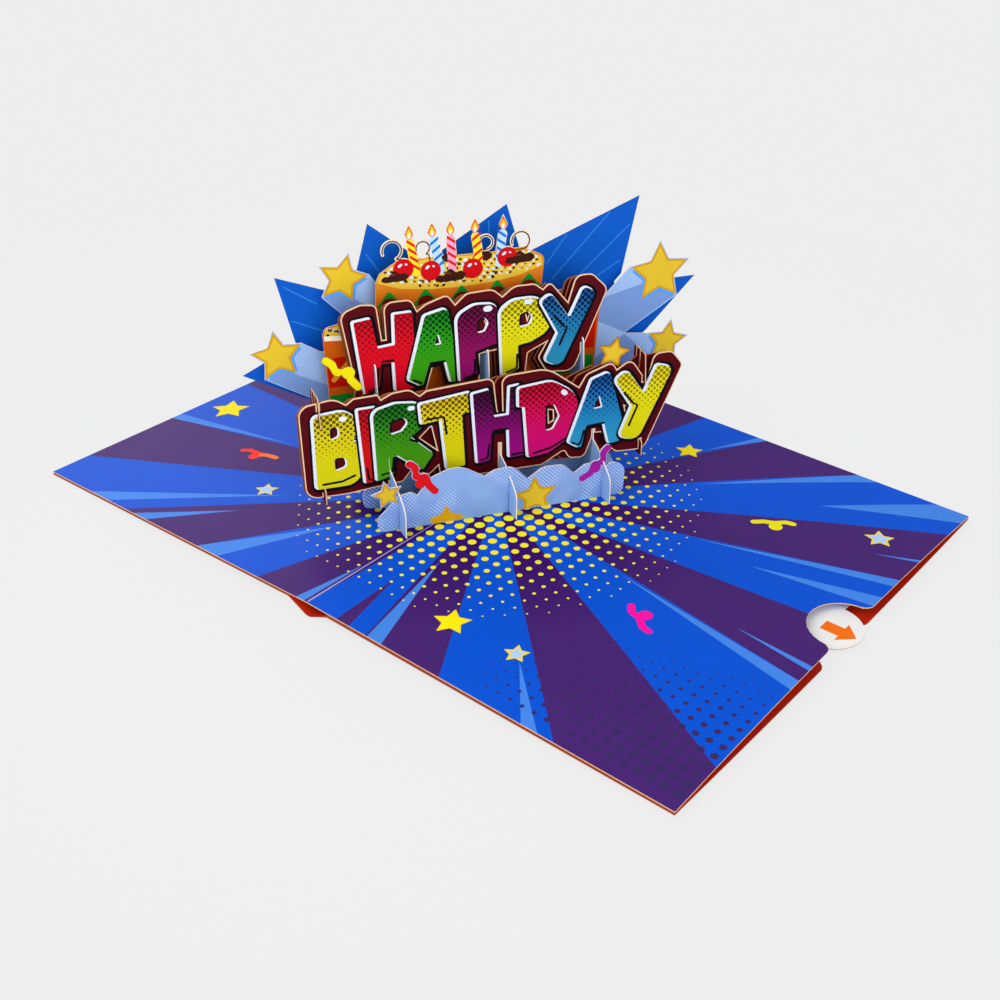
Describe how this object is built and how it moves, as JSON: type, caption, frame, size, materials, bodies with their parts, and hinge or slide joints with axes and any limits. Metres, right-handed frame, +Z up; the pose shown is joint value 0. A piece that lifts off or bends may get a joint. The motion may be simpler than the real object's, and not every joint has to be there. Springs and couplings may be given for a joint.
{
  "type": "pop up card",
  "caption": "Open greeting card with a standing pop-up of slotted paper layers: banners, cake, stars, clouds and a burst, and a pull-out note card.",
  "frame": {"origin": "on the surface the card rests on, under the middle of the fold", "axes": "+X across the fold to the right leaf with the note card, +Y along the fold to the back, +Z up"},
  "size_m": [0.2574, 0.1714, 0.0952],
  "materials": {
    "cover_board": "satin print",
    "printed_sheet": "satin print",
    "white_note": "matt",
    "banner_paper": "satin print",
    "cloud_paper": "satin print",
    "slice_paper": "satin print",
    "cake_paper": "satin print",
    "star_paper": "satin print",
    "burst_paper": "satin print"
  },
  "bodies": {
    "card": {"inner_sheet": "printed_sheet", "cover": "cover_board", "cloud_strip_front": "cloud_paper", "birthday_plate_front": "banner_paper", "birthday_plate_middle": "banner_paper", "birthday_plate_back": "banner_paper", "cloud_strip_middle": "cloud_paper", "happy_plate_front": "banner_paper", "happy_plate_middle": "banner_paper", "happy_plate_back": "banner_paper", "cake_plate": "cake_paper", "cloud_strip_rear": "cloud_paper", "star_trail_plate": "star_paper", "burst_plate": "burst_paper", "cross_slice_left": "slice_paper", "cross_slice_middle": "slice_paper", "cross_slice_right": "slice_paper", "banner_tie_left": "slice_paper", "banner_tie_right": "slice_paper"},
    "note": {"note_card": "white_note"}
  },
  "joints": [
    {"name": "note_slide", "type": "slide", "parent": "card", "child": "note", "axis": [0.9999, 0, -0.0158], "range_m": [0, 0.1]}
  ]
}
